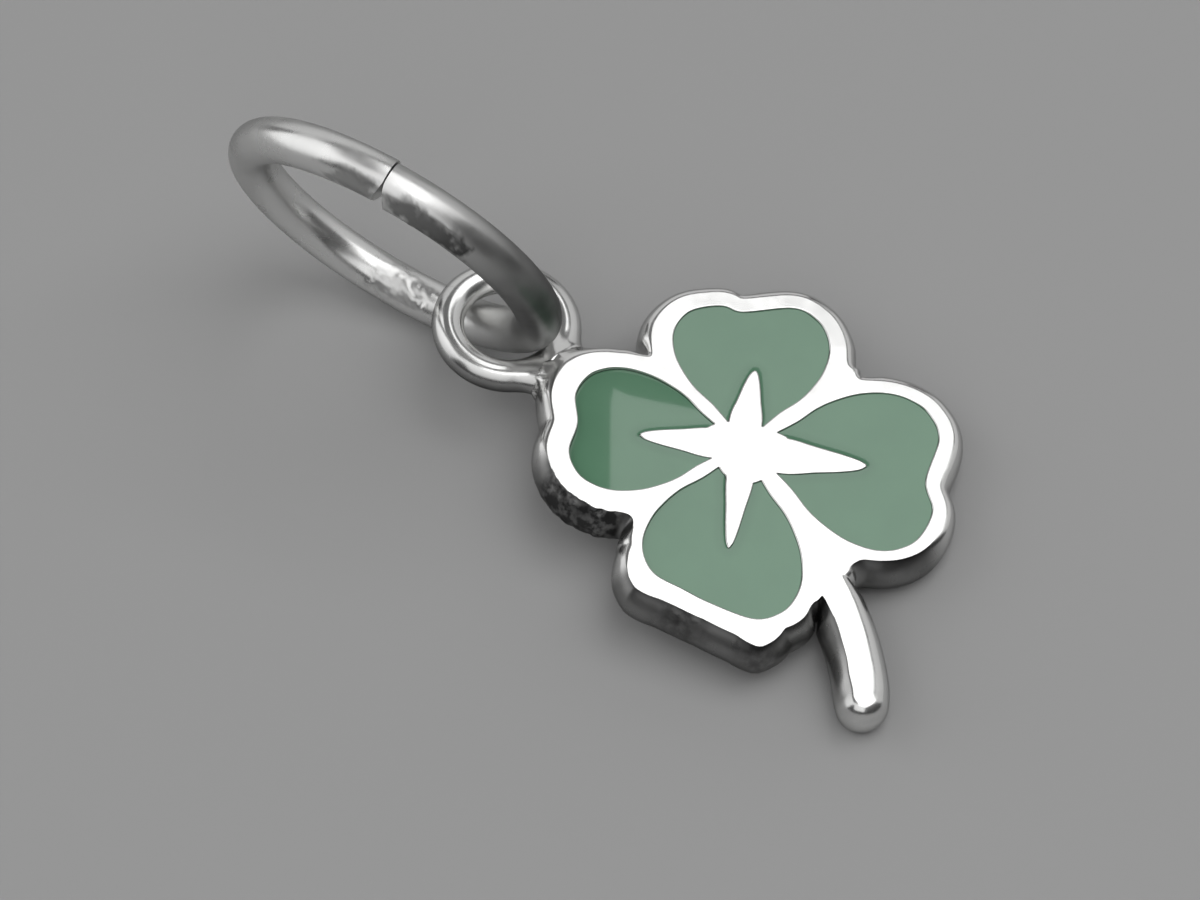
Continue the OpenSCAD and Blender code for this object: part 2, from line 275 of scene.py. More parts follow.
class RingSizes(bpy.types.PropertyGroup):
    """Sizes of the split jump ring."""

    hole: length("Hole", "Inner diameter of the jump ring", 6.8)
    wire: length("Wire", "Thickness of the jump ring's wire", 1.1)
    seam_turn: amount("Seam turn", "Degrees round the ring to its seam", 100)
    seam_gap: length("Seam gap", "Width of the seam", 0.03)
    end_step: length("End step", "How far the wire's two ends miss each other", 0.06)
    flare: length("Flare", "How far each end is cut back at the ring's inside", 0.2)
    flare_reach: length("Flare reach", "Stretch of wire over which the cut fades", 1.2)
    # On that side the ring's lower end is also darkened as painted shade
    rubbed_and_shaded_turn: amount("Rubbed side", "Degrees round the ring to where the eye has dulled it", 262)
    mark_depth: length("Mark depth", "Depth of the marks left by pliers", 0.04)


class EnamelSizes(bpy.types.PropertyGroup):
    """Sizes of the enamel."""

    drop: length("Drop", "Depth of the enamel below the face", 0.045)
    rise: length("Rise", "How far the enamel climbs at a vein", 0.010)
    reach: length("Reach", "Distance over which it climbs", 0.05)
    edge_gap: length("Edge gap", "Clearance between the enamel and the metal", 0.008)
    floor_gap: length("Floor gap", "Clearance below the enamel", 0.02)


class Finishes(bpy.types.PropertyGroup):
    """Colours of the metal, the enamel and the floor."""

    silver: colour("Silver", "Polished silver", (0.88, 0.88, 0.87))
    silver_edge: colour("Silver edge", "Silver seen at a grazing angle", (0.55, 0.55, 0.55))
    # Near black: tarnished silver where polishing misses it, and painted shade on the lower walls, under
    # the eye and on the ring
    tarnish_and_shade: colour("Tarnish", "Silver where polishing misses it", (0.06, 0.06, 0.06))
    enamel: colour("Enamel", "Green enamel", (0.10, 0.255, 0.145))
    # Darker green for the enamel's clouding and for painted shade beside the veins
    enamel_cloud_and_shade: colour("Deep enamel", "Enamel beside the veins", (0.065, 0.19, 0.105))
    floor: colour("Floor", "Plain pale floor", (0.39, 0.39, 0.39))
    cast_satin: amount("Clover's polish", "Roughness of the clover's polished silver", 0.19)
    ring_satin: amount("Ring's polish", "Roughness of the ring's polished silver", 0.3)


class StageSettings(bpy.types.PropertyGroup):
    """The camera and the lights."""

    view_turn: amount("View turn", "Degrees from the row's X axis to the picture's right", -58.6)
    view_rise: amount("View rise", "Degrees of the camera above the floor", 56.0)
    view_distance: length("View distance", "From the camera to the point it looks at", 107.14)
    lens: amount("Lens", "Focal length in millimetres on a 36 mm sensor", 135.0)
    floor_reach: length("Floor reach", "Half the side of the floor", 600)
    softbox_light: amount("Softbox light", "Power of the softbox in watts", 0.57)
    softbox_width: length("Softbox width", "Width of the softbox", 300)
    softbox_height: length("Softbox height", "Height of the softbox", 400)
    softbox_distance: length("Softbox distance", "From the pendant to the softbox", 300)
    softbox_left: amount("Softbox left", "Degrees to its left edge from the mirrored view", 5.0)
    softbox_low: amount("Softbox low", "Degrees to its lower edge from the mirrored view", 4.0)
    panel_size: length("Panel size", "Side of each dim panel", 480)
    panel_distance: length("Panel distance", "From the pendant to each dim panel", 450)
    low_sky: amount("Low sky", "Brightness of the room at the horizon", 0.04)
    high_sky: amount("High sky", "Brightness of the room overhead", 0.15)


def spline(points, steps):
    """Points on a smooth curve through the given ones, with steps from each to the next."""
    p = np.asarray(points, float)
    t = np.arange(steps)[:, None] / steps
    out = []
    for i in range(len(p) - 1):
        a, b, c, d = p[max(i - 1, 0)], p[i], p[i + 1], p[min(i + 2, len(p) - 1)]
        out.append(0.5 * (2 * b + (c - a) * t + (2 * a - 5 * b + 4 * c - d) * t**2
                          + (3 * b - a - 3 * c + d) * t**3))
    return np.vstack(out + [p[-1:]])


def turned(points, degrees):
    """Plan points turned round the origin."""
    a = math.radians(degrees)
    c, s = math.cos(a), math.sin(a)
    return np.asarray(points, float) @ np.array([[c, s], [-s, c]])


def chord_normals(p, span):
    """Outward normals of the chords that join the points a span before and after each point of a
    closed outline that runs anticlockwise, each as long as its chord."""
    chord = np.roll(p, -span, axis=0) - np.roll(p, span, axis=0)
    return np.stack([chord[:, 1], -chord[:, 0]], axis=1)


def normals(p):
    """Outward unit normals of a closed outline that runs anticlockwise."""
    out = chord_normals(p, 1)
    return out / np.linalg.norm(out, axis=1)[:, None]


def unit(angles):
    """Unit steps in the given directions, in radians."""
    return np.stack([np.cos(angles), np.sin(angles)], axis=-1)


def sideways(degrees):
    """Unit steps to the left of the given directions."""
    a = np.radians(degrees)
    return np.stack([-np.sin(a), np.cos(a)], axis=-1)


def leaf_outline(i, sizes, steps):
    """Outline of a cell before the star is taken from it."""
    turn, left_long, left_wide, right_long, right_wide, notch_x, notch_y = LEAVES[i]
    half = np.array(HALF_LEAF)
    long, wide = sizes.leaf_length / MM, sizes.leaf_half_width / MM
    left = half[::-1] * (left_long * long, left_wide * wide)
    right = half * (right_long * long, -right_wide * wide)
    notch = [(notch_x * long, notch_y * wide)]
    return turned(spline(np.vstack([right, notch, left]), steps), turn)


def exit_radius(outline, angles):
    """Distance at which rays from the origin leave a closed outline."""
    rays = unit(angles)
    a, b = outline, np.roll(outline, -1, axis=0)
    side_a = rays[:, :1] * a[:, 1] - rays[:, 1:] * a[:, 0]
    side_b = rays[:, :1] * b[:, 1] - rays[:, 1:] * b[:, 0]
    crossed = (side_a <= 0) != (side_b <= 0)
    t = side_a / np.where(crossed, side_a - side_b, 1)
    hit = ((a[None] + t[..., None] * (b - a)[None]) * rays[:, None, :]).sum(axis=2)
    return np.where(crossed, hit, 0).max(axis=1)


def leaves_radius(angles, sizes):
    """Distance from the middle to the edge of the four leaves' face."""
    degrees = (np.degrees(angles) + 180) % 360 - 180
    webs = np.array(WEBS)
    reach = [sizes.web / MM * np.interp(degrees, webs[:, 0], webs[:, 1])]
    for i in range(len(LEAVES)):
        p = leaf_outline(i, sizes, 12)
        rims = np.array(RIMS[i])
        share = np.interp(np.arange(len(p)) / (len(p) - 1), rims[:, 0], rims[:, 1])
        reach.append(exit_radius(p + (sizes.rim / MM * share)[:, None] * normals(p), angles))
    long = sizes.leaf_length / MM
    return long * ((np.stack(reach) / long) ** LEAF_POWER).sum(axis=0) ** (1 / LEAF_POWER)


def stem_outline(sizes, steps):
    """Both sides of the stem's arc and its round end."""
    bend, long, wide = sizes.stem_bend, sizes.stem_length / MM, sizes.stem_width / MM
    arc = long / math.radians(bend)
    t = np.linspace(0, 1, steps + 1)
    heading = STEM_HEADING - bend * t
    root = sizes.stem_root / MM * unit(math.radians(STEM_ROOT_TURN))
    middle = root + arc * (sideways(heading) - sideways(heading[:1]))
    end = sideways(heading[-1] + 180 * np.arange(1, steps) / steps)
    return np.vstack([
        middle - wide / 2 * sideways(heading),
        middle[-1] - wide / 2 * end,
        (middle + wide / 2 * sideways(heading))[::-1],
    ])


def wrapped(angles):
    """Angles in radians as turns of up to half a circle either way."""
    return (angles + math.pi) % (2 * math.pi) - math.pi


def equal_steps(outline, count):
    """A closed outline in equal steps."""
    closed = np.vstack([outline, outline[:1]])
    run = np.concatenate([[0], np.cumsum(np.linalg.norm(np.diff(closed, axis=0), axis=1))])
    s = run[-1] * np.arange(count) / count
    return np.stack([np.interp(s, run, closed[:, 0]), np.interp(s, run, closed[:, 1])], axis=1)


def face_outline(sizes, count):
    """Outline of the whole face, from the stem's outer stretch round the leaves."""
    stem = stem_outline(sizes, 48)
    bearing = np.arctan2(stem[:, 1], stem[:, 0])
    far = np.linalg.norm(stem, axis=1) > leaves_radius(bearing, sizes) + sizes.stem_width / MM / 8
    stem, bearing = stem[far], bearing[far]
    angles = np.linspace(bearing[-1], bearing[0] + 2 * math.pi, LEAF_RAYS)[1:-1]
    radius = leaves_radius(angles, sizes)
    leaves = radius[:, None] * unit(angles)
    return equal_steps(np.vstack([stem, leaves]), count)


def swell_directions(p, span):
    """Directions of the wall's swell, shorter in a crotch and at a corner."""
    step = (np.linalg.norm(np.roll(p, -1, axis=0) - p, axis=1)
            + np.linalg.norm(p - np.roll(p, 1, axis=0), axis=1))
    return chord_normals(p, span) / (span * step)[:, None]


def vein_outline(i, sizes):
    """Outline of one vein of the star."""
    long, lean, left, right = VEINS[i]
    half = spline(HALF_VEIN, 10)
    x = half[:, 0] * long * sizes.vein_length / MM
    right_y, left_y = ((half[:, 0] * lean + side * half[:, 1]) * sizes.vein_half_width / MM
                       for side in (-right, left))
    points = np.stack([np.append(x, x[::-1]), np.append(right_y, left_y[::-1])], axis=1)
    return turned(points, LEAVES[i][0])


def triangulated(outlines, loose=()):
    """Points and triangles inside closed outlines, the outlines round each triangle, and the place of
    each given point among the points."""
    points = [Vector(p) for outline in outlines for p in outline] + [Vector(p) for p in loose]
    faces, start = [], 0
    for outline in outlines:
        faces.append(list(range(start, start + len(outline))))
        start += len(outline)
    verts, _, tris, sources, _, owners = delaunay_2d_cdt(points, [], faces, 1, 1e-6)
    place = [0] * len(points)
    for k, given in enumerate(sources):
        for g in given:
            place[g] = k
    return np.array([tuple(v) for v in verts]), tris, [set(o) for o in owners], place


def boundary_loops(tris):
    """Closed loops of vertex numbers round a set of triangles, with the triangles on their left."""
    edges = {(t[k], t[(k + 1) % len(t)]) for t in tris for k in range(len(t))}
    after = {a: b for a, b in edges if (b, a) not in edges}
    loops = []
    while after:
        start = next(iter(after))
        loop, here = [start], after.pop(start)
        while here != start:
            loop.append(here)
            here = after.pop(here)
        loops.append(loop)
    return loops


def cell_outlines(sizes):
    """Outlines of the four cells: each leaf less the star."""
    a = np.arange(-180, 180, 2)
    hub = np.array(HUB)
    reach = sizes.hub / MM * np.interp(a, hub[:, 0], hub[:, 1], period=360)
    hub = reach[:, None] * unit(np.radians(a))
    leaves = [leaf_outline(i, sizes, 18) for i in range(len(LEAVES))]
    star = [vein_outline(i, sizes) for i in range(len(VEINS))] + [hub]
    verts, tris, owners, _ = triangulated(leaves + star)
    metal = set(range(len(leaves), len(leaves) + len(star)))
    cells = []
    for i in range(len(leaves)):
        mine = [t for t, o in zip(tris, owners) if i in o and not o & metal]
        loop = max(boundary_loops(mine), key=len)
        cells.append(verts[loop])
    return cells


def distance(points, outlines):
    """Distance of points from the nearest of some closed outlines."""
    best = np.full(len(points), np.inf)
    for outline in outlines:
        a, d = outline, np.roll(outline, -1, axis=0) - outline
        long = (d**2).sum(axis=1)
        for k in range(0, len(points), 2000):
            q = points[k:k + 2000, None] - a[None]
            t = np.clip((q * d).sum(axis=2) / long, 0, 1)
            gap = np.linalg.norm(q - t[..., None] * d, axis=2).min(axis=1)
            best[k:k + 2000] = np.minimum(best[k:k + 2000], gap)
    return best


def moved_out(edge, depth, edges, least=0.96):
    """Points of an outline moved out by a depth, or in by a negative one, without those that come
    nearer to the given edges than the least share of it."""
    row = edge + depth * normals(edge)
    return row[distance(row, edges) > least * abs(depth)]


def filled(outline, holes, depths, spacing, margin=()):
    """Points and triangles of a plan region, with rows of points at the given depths beside its holes,
    or its outline where it has none, and evenly spaced points elsewhere. A region with holes can have
    rows along its outline too, at the depths of its margin. The third result holds the point numbers
    along the outline and along each hole."""
    edges = holes or [outline]
    side = 1 if holes else -1
    rows = [moved_out(edge, side * depth, edges) for edge in edges for depth in depths]
    for depth in margin:
        row = moved_out(outline, -depth, [outline])
        rows.append(row[distance(row, edges) > depths[-1]])
    low, high = outline.min(axis=0), outline.max(axis=0)
    x, y = np.meshgrid(*(np.arange(low[k], high[k], spacing) for k in (0, 1)))
    grid = np.stack([x.ravel(), y.ravel()], axis=1)
    grid = grid[distance(grid, edges) > depths[-1] + spacing / 2]
    grid = grid[distance(grid, [outline]) > spacing / 2 + max(margin, default=0)]
    loose = np.vstack(rows + [grid])
    bounds = [outline] + list(holes)
    verts, tris, owners, place = triangulated(bounds, loose)
    inside = [t for t, o in zip(tris, owners) if o == {0}]
    used = sorted({v for t in inside for v in t})
    number = {v: k for k, v in enumerate(used)}
    ends = np.cumsum([0] + [len(b) for b in bounds])
    rims = [[number[v] for v in place[a:b]] for a, b in zip(ends, ends[1:])]
    return verts[used], [[number[v] for v in t] for t in inside], rims


def mount(name):
    """One of the record's mounts."""
    return next(m for m in frame["record"]["mounts"] if m["name"] == name)


def rest_matrix():
    """Where the flat clover lies, from the record's mount on its back."""
    back = mount("back")
    x, y, z = back["axis"]
    tilt, turn = math.acos(max(-1, min(1, -z))), math.atan2(-x, y)
    lean = (Matrix.Rotation(turn, 4, "Z") @ Matrix.Rotation(tilt, 4, "X")
            @ Matrix.Rotation(-turn, 4, "Z"))
    return Matrix.Translation(back["pos_m"]) @ lean @ Matrix.Scale(MM, 4)


def ring_matrix():
    """Where the jump ring stands: its bottom is at -X of the wire's circle and its far side at +Y."""
    ring = mount("jump_ring_opening")
    lean = math.atan2(ring["axis"][2], ring["axis"][0])
    return (Matrix.Translation(ring["pos_m"]) @ Matrix.Rotation(-lean, 4, "Y")
            @ Matrix.Rotation(math.pi / 2, 4, "Y") @ Matrix.Scale(MM, 4))


def placed(name, data):
    """A new object in the scene."""
    item = bpy.data.objects.new(name, data)
    bpy.context.scene.collection.objects.link(item)
    return item


def new_piece(name, verts, faces, material):
    """A smooth mesh object, whose edges over 40 degrees stay crisp."""
    mesh = bpy.data.meshes.new(name)
    mesh.from_pydata([tuple(v) for v in verts], [], [tuple(f) for f in faces])
    mesh.polygons.foreach_set("use_smooth", [True] * len(mesh.polygons))
    mesh.set_sharp_from_angle(angle=math.radians(40))
    mesh.update()
    mesh.materials.append(material)
    return placed(name, mesh)


def vectors(items, key):
    """A vector of each item of a mesh, as an array."""
    flat = np.empty(3 * len(items))
    items.foreach_get(key, flat)
    return flat.reshape(-1, 3)


def points_of(piece):
    """A piece's points."""
    return vectors(piece.data.vertices, "co")


def outward(piece):
    """Normals at a piece's points."""
    return vectors(piece.data.vertex_normals, "vector")


def move_points(piece, points):
    """Puts a piece's points in new places."""
    piece.data.vertices.foreach_set("co", np.asarray(points).ravel())
    piece.data.update()


def point_values(piece, name, values):
    """A number for each point of a piece, which its material reads."""
    layer = piece.data.attributes.new(name, "FLOAT", "POINT")
    layer.data.foreach_set("value", np.asarray(values, np.float32))


def dress(piece, nodes):
    """Ties a finished piece to the part."""
    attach(piece, "root")
    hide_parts(*nodes)


def eye_place(sizes, eye):
    """The eye's middle on the flat clover, and the radius of the circle that its wire follows."""
    outline = face_outline(sizes, PART_STEPS)
    half = (eye.hole + eye.wire) / 2 / MM
    seat = half + (eye.wire / 2 + sizes.swell - eye.sink) / MM
    near = outline[abs(outline[:, 0]) < seat]
    y = (near[:, 1] + np.sqrt(seat**2 - near[:, 0] ** 2)).max()
    return np.array([0, y, (eye.lift + eye.wire / 2) / MM]), half


def jitter(points, scale):
    """Repeatable noise from about -1 to 1 at points in millimetres, in three octaves."""
    return np.array([noise.fractal(Vector(p) * scale, 0.6, 2.0, 3) for p in points])


def rough_patches(plan, column):
    """How rough the casting is at plan points: column 0 holds the pits, 1 the nicks."""
    total = np.zeros(len(plan))
    for x, y, reach, *depths in ROUGH:
        far = np.linalg.norm(plan - (x, y), axis=1) / reach
        total = np.maximum(total, depths[column] * np.clip(1 - far**2, 0, 1))
    return total


def worn_back(plan):
    """How far the face's edge is worn back at plan points."""
    total = np.zeros(len(plan))
    for x, y, reach, far in WORN_BACK:
        near = np.clip(1 - np.linalg.norm(plan - (x, y), axis=1) / reach, 0, 1)
        total += far * near**2 * (3 - 2 * near)
    return total


def with_height(plan, height):
    """Plan points at one height."""
    return np.column_stack([plan, np.full(len(plan), float(height))])


def surface_gap(piece):
    """A function that gives the distance of points outside a closed piece."""
    polygons = [tuple(p.vertices) for p in piece.data.polygons]
    tree = BVHTree.FromPolygons([tuple(p) for p in points_of(piece)], polygons)

    def gap(points):
        out = []
        for p in points:
            spot, normal, _, far = tree.find_nearest(p)
            out.append(math.copysign(far, (Vector(p) - spot).dot(normal)))
        return np.array(out)

    return gap


def wire_gap(place, half, wire):
    """A function that gives the distance of points outside a round wire bent to a circle."""
    def gap(points):
        x, y, z = (points - place).T
        return np.hypot(np.hypot(x, y) - half, z) - wire / 2

    return gap


def flow(points, directions, other, blend):
    """Points moved out to where solder, running over the blend's distance, joins their surface to the
    other one."""
    rise = np.zeros(len(points))
    for _ in range(6):
        far = other(points + rise[:, None] * directions)
        share = np.clip(1 - np.abs(rise - far) / blend, 0, 1)
        rise = np.clip(rise - np.minimum(rise, far) + blend / 4 * share**2, 0, blend / 4)
    return points + rise[:, None] * directions


def connect(tree, node, inputs):
    """Gives a node its inputs: a socket is linked, and anything else becomes the input's value."""
    for name, value in inputs.items():
        if isinstance(value, bpy.types.NodeSocket):
            tree.links.new(value, node.inputs[name])
        else:
            node.inputs[name].default_value = value
    return node


def new_node(tree, kind, inputs):
    """A node with its inputs."""
    return connect(tree, tree.nodes.new(kind), inputs)


def maths(tree, operation, a, b=0.0):
    """The result of a sum on one or two values, each a socket or a number."""
    node = tree.nodes.new("ShaderNodeMath")
    node.operation = operation
    return connect(tree, node, {0: a, 1: b}).outputs[0]


def bent_wire_tree():
    """Geometry Nodes that sweep a round wire along an arc whose two ends may miss each other."""
    tree = bpy.data.node_groups.new("bent_wire", "GeometryNodeTree")
    face = tree.interface
    face.new_socket("Geometry", in_out="OUTPUT", socket_type="NodeSocketGeometry")
    for name, kind in (
        ("Geometry", "Geometry"), ("Ring Radius", "Float"), ("Wire Thickness", "Float"),
        ("Start Angle", "Float"), ("Sweep Angle", "Float"), ("End Step", "Float"),
        ("Steps", "Int"), ("Material", "Material"),
    ):
        face.new_socket(name, in_out="INPUT", socket_type="NodeSocket" + kind)
    given = tree.nodes.new("NodeGroupInput").outputs
    arc = new_node(tree, "GeometryNodeCurveArc", {
        "Resolution": given["Steps"], "Radius": given["Ring Radius"],
        "Start Angle": given["Start Angle"], "Sweep Angle": given["Sweep Angle"],
    })

    # The step grows with the fifth power of the distance from the arc's middle, so that only the
    # wire's last stretch on either side leaves the plane.
    place = tree.nodes.new("GeometryNodeSplineParameter").outputs["Factor"]
    signed = maths(tree, "SUBTRACT", maths(tree, "MULTIPLY", place, 2.0), 1.0)
    fourth = maths(tree, "POWER", maths(tree, "ABSOLUTE", signed), 4.0)
    step = maths(tree, "MULTIPLY", maths(tree, "MULTIPLY", fourth, signed),
                 maths(tree, "MULTIPLY", given["End Step"], 0.5))
    lift = new_node(tree, "ShaderNodeCombineXYZ", {"Z": step})
    moved = new_node(tree, "GeometryNodeSetPosition", {
        "Geometry": arc.outputs["Curve"], "Offset": lift.outputs["Vector"],
    })
    section = new_node(tree, "GeometryNodeCurvePrimitiveCircle", {
        "Resolution": WIRE_SIDES, "Radius": maths(tree, "MULTIPLY", given["Wire Thickness"], 0.5),
    })
    sweep = new_node(tree, "GeometryNodeCurveToMesh", {
        "Curve": moved.outputs["Geometry"], "Profile Curve": section.outputs["Curve"],
        "Fill Caps": True,
    })
    real = new_node(tree, "GeometryNodeRealizeInstances", {"Geometry": sweep.outputs["Mesh"]})
    finish = new_node(tree, "GeometryNodeSetMaterial", {
        "Geometry": real.outputs["Geometry"], "Material": given["Material"],
    })
    new_node(tree, "NodeGroupOutput", {"Geometry": finish.outputs["Geometry"]})
    return tree


def bent_wire(name, values):
    """A swept wire as a plain mesh object."""
    tree = bpy.data.node_groups.get("bent_wire") or bent_wire_tree()
    holder = placed(name + "_holder", bpy.data.meshes.new(name + "_holder"))
    modifier = holder.modifiers.new("wire", "NODES")
    modifier.node_group = tree
    for item in tree.interface.items_tree:
        if item.item_type == "SOCKET" and item.in_out == "INPUT" and item.name in values:
            modifier[item.identifier] = values[item.name]
    view = bpy.context.evaluated_depsgraph_get()
    mesh = bpy.data.meshes.new_from_object(holder.evaluated_get(view))
    bpy.data.objects.remove(holder)
    mesh.name = name
    mesh.polygons.foreach_set("use_smooth", [True] * len(mesh.polygons))
    return placed(name, mesh)


def joined(name, pieces):
    """Several pieces as one object."""
    bpy.ops.object.select_all(action="DESELECT")
    for piece in pieces:
        piece.select_set(True)
    bpy.context.view_layer.objects.active = pieces[0]
    bpy.ops.object.join()
    pieces[0].name = name
    return pieces[0]


def shader_tree(name):
    """A new material with its node tree and its shader."""
    material = bpy.data.materials.new(name)
    material.use_nodes = True
    tree = material.node_tree
    tree.nodes.clear()
    shader = tree.nodes.new("ShaderNodeBsdfPrincipled")
    new_node(tree, "ShaderNodeOutputMaterial", {"Surface": shader.outputs["BSDF"]})
    return material, tree, shader


def point_value(tree, name):
    """A number that the piece's points carry."""
    node = tree.nodes.new("ShaderNodeAttribute")
    node.attribute_name = name
    return node.outputs["Fac"]


def ramp(tree, value, low, high, out_low, out_high):
    """A value mapped from one range to another, smoothly and clamped."""
    node = tree.nodes.new("ShaderNodeMapRange")
    node.interpolation_type = "SMOOTHSTEP"
    connect(tree, node, {"Value": value, "From Min": low, "From Max": high,
                         "To Min": out_low, "To Max": out_high})
    return node.outputs["Result"]


def speckle(tree, scale, detail):
    """Noise on Object coordinates; scale is in features for each millimetre."""
    place = tree.nodes.new("ShaderNodeTexCoord").outputs["Object"]
    inputs = {"Vector": place, "Scale": scale / MM, "Detail": detail}
    return new_node(tree, "ShaderNodeTexNoise", inputs).outputs["Fac"]


def mottle(tree, scale, detail, low, high):
    """Speckle whose middle values are spread from low to high."""
    return ramp(tree, speckle(tree, scale, detail), 0.3, 0.7, low, high)


def blended(tree, share, a, b):
    """Colour a where share is 0 and b where it is 1."""
    node = tree.nodes.new("ShaderNodeMix")
    node.data_type = "RGBA"
    return connect(tree, node, {"Factor": share, "A": (*a, 1), "B": (*b, 1)}).outputs["Result"]


def bumped(tree, height, strength):
    """Normals of a bump from a height."""
    inputs = {"Height": height, "Strength": strength, "Distance": BUMP_DEPTH * MM}
    return new_node(tree, "ShaderNodeBump", inputs).outputs["Normal"]


def silver_finish(name, finishes, satin):
    """Polished silver, darker and rougher where the piece is worn, and grainy where it is pitted. The
    darkening is partly painted shade. Satin is the roughness that the polish leaves."""
    material, tree, shader = shader_tree(name)
    worn, pitted = point_value(tree, "worn"), point_value(tree, "pitted")
    # Worn points turn dark; on the lower walls, under the eye and on the ring this is partly painted
    # shade
    clouded = maths(tree, "MULTIPLY", worn, mottle(tree, 1.2, 2, 0.92, 1.0))
    grainy = maths(tree, "MULTIPLY", pitted, mottle(tree, 4.0, 3, -0.5, 0.5))
    dull = maths(tree, "ADD", clouded, maths(tree, "MULTIPLY", grainy, 0.6))
    smudge = mottle(tree, 1.1, 3, 0.8 * satin, 1.2 * satin)
    waves = maths(tree, "MULTIPLY", speckle(tree, 0.9, 2), 0.7)
    connect(tree, shader, {
        "Metallic": 1.0, "Specular Tint": (*finishes.silver_edge, 1),
        "Base Color": blended(tree, dull, finishes.silver, finishes.tarnish_and_shade),
        "Roughness": maths(tree, "ADD", smudge, maths(tree, "MULTIPLY", worn, 0.14)),
        "Normal": bumped(tree, maths(tree, "ADD", waves, grainy), 0.5),
    })
    return material


def enamel_finish(name, finishes):
    """Glossy green enamel, faintly clouded, with painted shade beside the veins."""
    material, tree, shader = shader_tree(name)
    cloud = mottle(tree, 0.6, 3, 0.0, 0.25)
    # Painted shade in the enamel beside the veins, added to the clouding
    shade = ramp(tree, point_value(tree, "edge"), 0.0, 0.35, 0.5, 0.0)
    depth = maths(tree, "ADD", cloud, shade)
    connect(tree, shader, {
        "Base Color": blended(tree, depth, finishes.enamel, finishes.enamel_cloud_and_shade),
        "Roughness": 0.35, "Coat Weight": 1.0, "Coat Roughness": 0.07, "Coat IOR": 1.62,
        "Coat Normal": bumped(tree, speckle(tree, 0.35, 1), 0.25),
    })
    return material


def crispness(outline, out, sizes):
    """How crisp the face's edge is, from 0 where it is polished or worn back to 1 where polishing missed
    it: wholly crisp up to 53 degrees from the crisp side, and not at all past 84."""
    facing = np.cos(np.arctan2(out[:, 1], out[:, 0]) - math.radians(sizes.crisp_turn))
    crisp = np.clip((facing - 0.1) / 0.5, 0, 1)
    return crisp * crisp * (3 - 2 * crisp) * np.exp(-((worn_back(outline) / 0.1) ** 2))


class Shell:
    """The points, faces, dullness with its painted shade, and grain of a shell that grows row by row."""

    def __init__(self, verts, faces):
        self.verts, self.faces = verts, faces
        self.worn, self.pitted = [0.0] * len(verts), [0.0] * len(verts)

    def row(self, plan, height, wear_and_shade, grain=0.0):
        """Adds points at one height and gives their numbers."""
        start = len(self.verts)
        self.verts.extend((*p, height) for p in plan)
        self.worn.extend(np.broadcast_to(wear_and_shade, len(plan)))
        self.pitted.extend(np.broadcast_to(grain, len(plan)))
        return list(range(start, start + len(plan)))

    def strip(self, upper, lower):
        """Adds the faces between two closed rows."""
        n = len(upper)
        for k in range(n):
            self.faces.append((upper[k], lower[k], lower[(k + 1) % n], upper[(k + 1) % n]))


def face_shell(edge, cells, sizes):
    """The plate's face, worn round at the cells' edges, as the start of its shell, and the numbers of
    the points along its edge and along each cell."""
    rounding = sizes.rim_round / MM
    arcs = np.radians(np.arange(ROUND_STEP, 91, ROUND_STEP))
    # Two more rows of points lie beyond the worn stretch
    depths = list(rounding * (1 - np.cos(arcs))) + [1.4 * rounding, 2.5 * rounding]
    plan, tris, rims = filled(edge, cells, depths, FACE_SPACING, FACE_ROWS)
    gap = np.minimum(distance(plan, cells), rounding)
    drop = rounding - np.sqrt(rounding**2 - (rounding - gap) ** 2)
    top = sizes.thickness / MM - drop
    return Shell([(*p, z) for p, z in zip(plan, top)], [tuple(t) for t in tris]), rims


def side_wall(shell, above, outline, out, edge, sizes):
    """Adds the wall below a row of points on the face's edge, squarer where the edge is crisp, and gives
    the back's outline and the numbers of its points."""
    crisp = crispness(outline, out, sizes)
    widest = outline + sizes.swell / MM * out
    back = outline - sizes.back_inset / MM * out
    pits = rough_patches(outline, 0)
    for j in range(WALL_STEPS - 1, -1, -1):
        turn = math.pi * j / WALL_STEPS
        height = sizes.thickness / MM / 2 * (1 - math.cos(turn))
        share, foot = math.sin(turn), back
        if 2 * j > WALL_STEPS:
            share = share + crisp * (1 - abs(math.cos(turn)) ** CRISP_POWER - share)
            foot = edge
        ring = foot + np.reshape(share, (-1, 1)) * (widest - foot)
        # Pits fade out at both ends of the wall, and their streaks run up it
        skin = pits * min(1, 2.5 * math.sin(turn))
        streaks = jitter(with_height(ring, 0.3 * height), SKIN_SCALE)
        ring = ring + (skin * streaks)[:, None] * out
        # Duller and darker where polishing missed the wall, most just below the face: partly tarnished
        # silver, partly painted shade
        missed = WALL_WEAR_AND_SHADE + EDGE_WEAR_AND_SHADE * math.exp(-(((math.pi - turn) / EDGE_FADE) ** 2))
        wear_and_shade = np.clip(POLISHED_WEAR + crisp * missed + skin / DULL_PIT, 0, 1)
        below = shell.row(ring, height, wear_and_shade, np.clip(skin / GRAINY_PIT, 0, 1))
        shell.strip(above, below)
        above = below
    return back, above


def flat_back(shell, back, row):
    """Adds the flat back inside the row of points on its outline."""
    plan, tris, (rim,) = filled(back, [], BACK_ROWS, BACK_SPACING)
    numbers = dict(zip(rim, row))
    for k, p in enumerate(plan):
        if k not in numbers:
            numbers[k] = shell.row([p], 0.0, BACK_WEAR)[0]
    shell.faces.extend(tuple(numbers[v] for v in t[::-1]) for t in tris)


def cell_walls(shell, above, cell, sizes):
    """Adds a cell's wall, below a row of points on its edge, and its floor."""
    thick, rounding = sizes.thickness / MM, sizes.rim_round / MM
    floor = thick - sizes.cell_depth / MM
    for height in (thick - 1.5 * rounding, (thick + floor) / 2, floor):
        below = shell.row(cell, height, CELL_WEAR)
        shell.strip(above[::-1], below[::-1])
        above = below
    _, tris, _, place = triangulated([cell])
    number = {v: above[k] for k, v in enumerate(place)}
    shell.faces.extend(tuple(number[v] for v in t) for t in tris)


